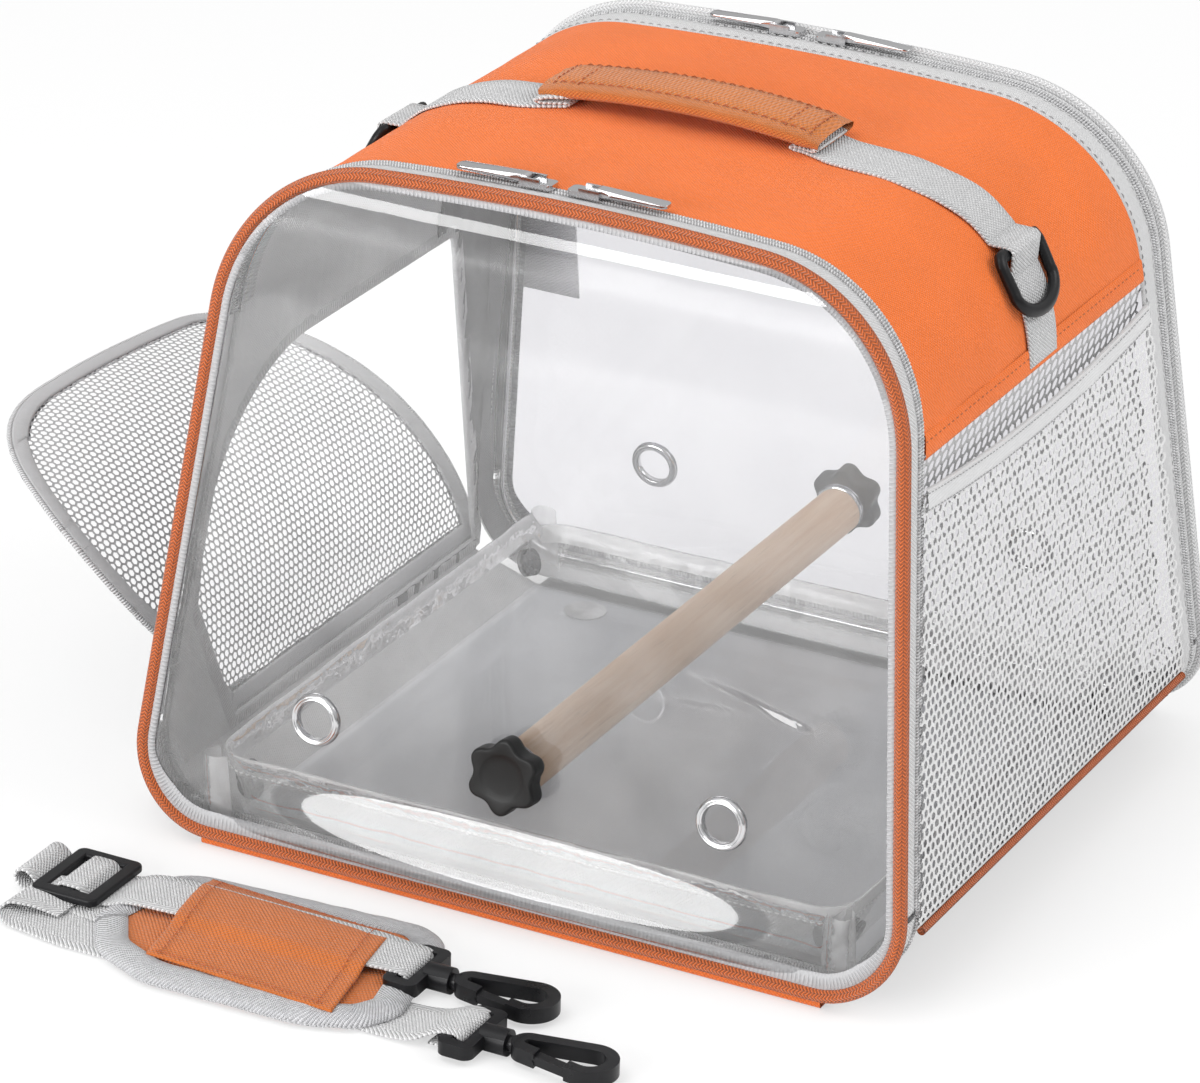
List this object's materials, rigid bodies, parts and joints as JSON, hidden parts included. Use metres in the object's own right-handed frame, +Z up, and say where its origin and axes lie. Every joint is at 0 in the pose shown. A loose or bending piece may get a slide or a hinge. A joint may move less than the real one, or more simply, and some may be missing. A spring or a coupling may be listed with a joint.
{
  "type": "bird travel carrier",
  "caption": "Soft-sided bird carrier with clear zip-open end windows, a perch held by hand knobs, curved side door, mesh pocket, top handle and shoulder strap.",
  "frame": {"origin": "on the floor under the carrier, midway between the two end frames and between its sides", "axes": "+X to the carrier's right as seen from the window with the shoulder strap in front of it, +Y from that window to the other one, +Z up"},
  "size_m": [0.4884, 0.4597, 0.3178],
  "materials": {
    "orange_fabric": "woven, coated",
    "orange_piping": "braided",
    "grey_piping": "braided",
    "grey_fabric": "woven, coated",
    "grey_webbing": "ribbed",
    "grey_binding": "satin tape",
    "grey_mesh": "open mesh",
    "white_tape": "twill tape with nylon coil",
    "clear_sheet": "clear flexible vinyl, glossy",
    "tray_sheet": "clear flexible vinyl, satin",
    "black_plastic": "moulded",
    "knob_plastic": "moulded",
    "nickel": "bright plated",
    "steel_wire": "drawn",
    "perch_wood": "bare turned hardwood",
    "board_cover": "coated board",
    "hook_metal": "black enamel",
    "gate_steel": "spring steel"
  },
  "bodies": {
    "carrier": {"base_board": "board_cover", "bottom_panel": "grey_fabric", "roof_cover": "orange_fabric", "roof_lining": "grey_fabric", "right_mesh_panel": "grey_mesh", "side_pocket": "grey_mesh", "edge_bindings": "grey_binding", "left_side_panel": "grey_fabric", "side_pipings": "orange_piping", "body_zip_tapes": "white_tape", "hinge_strips": "orange_fabric", "clear_tray": "tray_sheet", "tray_snaps": "black_plastic", "board_dots": "black_plastic", "perch_dowel": "perch_wood", "perch_inserts": "gate_steel", "carry_webbing": "grey_webbing", "handle_sleeve": "orange_fabric"},
    "front_door": {"front_window": "clear_sheet", "front_window_binding": "grey_binding", "front_piping": "orange_piping", "front_hoop": "steel_wire", "front_door_tape": "white_tape", "front_eyelets": "nickel"},
    "back_door": {"back_window": "clear_sheet", "back_window_binding": "grey_binding", "back_piping": "grey_piping", "back_hoop": "steel_wire", "back_door_tape": "white_tape", "back_eyelets": "nickel", "window_tie_strap": "grey_webbing"},
    "front_clamp_stud": {"front_stud": "steel_wire"},
    "front_clamp_knob": {"front_knob": "knob_plastic"},
    "front_slider_left": {"front_slider_left": "nickel"},
    "front_pull_left": {"front_pull_left": "nickel"},
    "front_slider_right": {"front_slider_right": "nickel"},
    "front_pull_right": {"front_pull_right": "nickel"},
    "back_clamp_stud": {"back_stud": "steel_wire"},
    "back_clamp_knob": {"back_knob": "knob_plastic"},
    "back_slider_left": {"back_slider_left": "nickel"},
    "back_pull_left": {"back_pull_left": "nickel"},
    "back_slider_right": {"back_slider_right": "nickel"},
    "back_pull_right": {"back_pull_right": "nickel"},
    "d_ring_left": {"d_ring_left": "black_plastic"},
    "d_ring_right": {"d_ring_right": "black_plastic"},
    "side_door_strip_1": {"side_door_panel_1": "grey_fabric", "side_door_zip": "nickel"},
    "side_door_strip_2": {"side_door_panel_2": "grey_fabric"},
    "side_door_strip_3": {"side_door_panel_3": "grey_fabric"},
    "side_door_strip_4": {"side_door_panel_4": "grey_fabric"},
    "shoulder_strap": {"strap_webbing": "grey_webbing", "strap_pad": "orange_fabric", "pad_sleeve": "orange_fabric", "hook_bases": "black_plastic"},
    "tri_glide": {"tri_glide": "black_plastic"},
    "hook_1": {"hook_1": "hook_metal"},
    "gate_1": {"gate_1": "gate_steel"},
    "hook_2": {"hook_2": "hook_metal"},
    "gate_2": {"gate_2": "gate_steel"}
  },
  "joints": [
    {"name": "front_door_hinge", "type": "hinge", "parent": "carrier", "child": "front_door", "pos_m": [0, -0.1665, 0.0065], "axis": [1, 0, 0], "range_deg": [0, 75]},
    {"name": "back_door_hinge", "type": "hinge", "parent": "carrier", "child": "back_door", "pos_m": [0, 0.1665, 0.0065], "axis": [1, 0, 0], "range_deg": [-75, 0]},
    {"name": "front_stud_slide", "type": "slide", "parent": "front_door", "child": "front_clamp_stud", "axis": [0, -0.9906, 0.1368], "range_m": [0, 0.008]},
    {"name": "front_knob_turn", "type": "hinge", "parent": "front_clamp_stud", "child": "front_clamp_knob", "pos_m": [0, -0.158, 0.06809], "axis": [0, -0.9906, 0.1368], "range_deg": [-10, 2890]},
    {"name": "front_slider_left_travel", "type": "hinge", "parent": "carrier", "child": "front_slider_left", "pos_m": [0, -0.30328, -1.10128], "axis": [0, -0.9906, 0.1368], "range_deg": [0, 2.5]},
    {"name": "front_pull_left_hinge", "type": "hinge", "parent": "front_slider_left", "child": "front_pull_left", "pos_m": [-0.02704, -0.10884, 0.30997], "axis": [0, 1, 0], "range_deg": [0, 110]},
    {"name": "front_slider_right_travel", "type": "hinge", "parent": "carrier", "child": "front_slider_right", "pos_m": [0, -0.30328, -1.10128], "axis": [0, 0.9906, -0.1368], "range_deg": [0, 2.5]},
    {"name": "front_pull_right_hinge", "type": "hinge", "parent": "front_slider_right", "child": "front_pull_right", "pos_m": [0.007, -0.10882, 0.31021], "axis": [0, -1, 0], "range_deg": [0, 110]},
    {"name": "back_stud_slide", "type": "slide", "parent": "back_door", "child": "back_clamp_stud", "axis": [0, 0.9906, 0.1368], "range_m": [0, 0.008]},
    {"name": "back_knob_turn", "type": "hinge", "parent": "back_clamp_stud", "child": "back_clamp_knob", "pos_m": [0, 0.158, 0.06809], "axis": [0, 0.9906, 0.1368], "range_deg": [-10, 2890]},
    {"name": "back_slider_left_travel", "type": "hinge", "parent": "carrier", "child": "back_slider_left", "pos_m": [0, 0.31095, -1.10128], "axis": [0, -0.9906, -0.1368], "range_deg": [0, 2.5]},
    {"name": "back_pull_left_hinge", "type": "hinge", "parent": "back_slider_left", "child": "back_pull_left", "pos_m": [-0.02303, 0.11651, 0.31004], "axis": [0, 1, 0], "range_deg": [0, 110]},
    {"name": "back_slider_right_travel", "type": "hinge", "parent": "carrier", "child": "back_slider_right", "pos_m": [0, 0.31095, -1.10128], "axis": [0, 0.9906, 0.1368], "range_deg": [0, 2.5]},
    {"name": "back_pull_right_hinge", "type": "hinge", "parent": "back_slider_right", "child": "back_pull_right", "pos_m": [0.01101, 0.1165, 0.31018], "axis": [0, -1, 0], "range_deg": [0, 110]},
    {"name": "d_ring_left_swing", "type": "hinge", "parent": "carrier", "child": "d_ring_left", "pos_m": [-0.14561, 0, 0.278], "axis": [0, 1, 0], "range_deg": [0, 100]},
    {"name": "d_ring_right_swing", "type": "hinge", "parent": "carrier", "child": "d_ring_right", "pos_m": [0.14561, 0, 0.278], "axis": [0, -1, 0], "range_deg": [0, 100]},
    {"name": "side_door_bend_1", "type": "hinge", "parent": "carrier", "child": "side_door_strip_1", "pos_m": [-0.18363, 0, 0.01471], "axis": [0, -1, 0], "range_deg": [-17.3, 6]},
    {"name": "side_door_bend_2", "type": "hinge", "parent": "side_door_strip_1", "child": "side_door_strip_2", "pos_m": [-0.19294, 0, 0.0617], "axis": [0, -1, 0], "range_deg": [-22.85, 8.01]},
    {"name": "side_door_bend_3", "type": "hinge", "parent": "side_door_strip_2", "child": "side_door_strip_3", "pos_m": [-0.21972, 0, 0.1014], "axis": [0, -1, 0], "range_deg": [-22.85, 8.01]},
    {"name": "side_door_bend_4", "type": "hinge", "parent": "side_door_strip_3", "child": "side_door_strip_4", "pos_m": [-0.2598, 0, 0.12763], "axis": [0, -1, 0], "range_deg": [-22.85, 8.01]},
    {"name": "strap_draw_away", "type": "slide", "parent": "carrier", "child": "shoulder_strap", "axis": [0, -1, 0], "range_m": [0, 0.15]},
    {"name": "tri_glide_slide", "type": "slide", "parent": "shoulder_strap", "child": "tri_glide", "axis": [-1, 0, 0], "range_m": [0, 0.005]},
    {"name": "hook_1_swivel", "type": "hinge", "parent": "shoulder_strap", "child": "hook_1", "pos_m": [0.0106, -0.23, 0.0057], "axis": [1, 0, 0], "continuous": true},
    {"name": "gate_1_hinge", "type": "hinge", "parent": "hook_1", "child": "gate_1", "pos_m": [0.0235, -0.23523, 0.0057], "axis": [0, 0, 1], "range_deg": [0, 25], "stiffness_Nm_per_rad": 0.02, "springref_deg": -11.46},
    {"name": "hook_2_swivel", "type": "hinge", "parent": "shoulder_strap", "child": "hook_2", "pos_m": [0.0551, -0.264, 0.0057], "axis": [1, 0, 0], "continuous": true},
    {"name": "gate_2_hinge", "type": "hinge", "parent": "hook_2", "child": "gate_2", "pos_m": [0.068, -0.26923, 0.0057], "axis": [0, 0, 1], "range_deg": [0, 25], "stiffness_Nm_per_rad": 0.02, "springref_deg": -11.46}
  ],
  "couplings": [
    {"joint": "front_knob_turn", "follows": "front_stud_slide", "rad_per_m": 6283.2},
    {"joint": "back_knob_turn", "follows": "back_stud_slide", "rad_per_m": 6283.2},
    {"joint": "side_door_bend_2", "follows": "side_door_bend_1", "ratio": 1.3179},
    {"joint": "side_door_bend_3", "follows": "side_door_bend_1", "ratio": 1.3179},
    {"joint": "side_door_bend_4", "follows": "side_door_bend_1", "ratio": 1.3179}
  ]
}
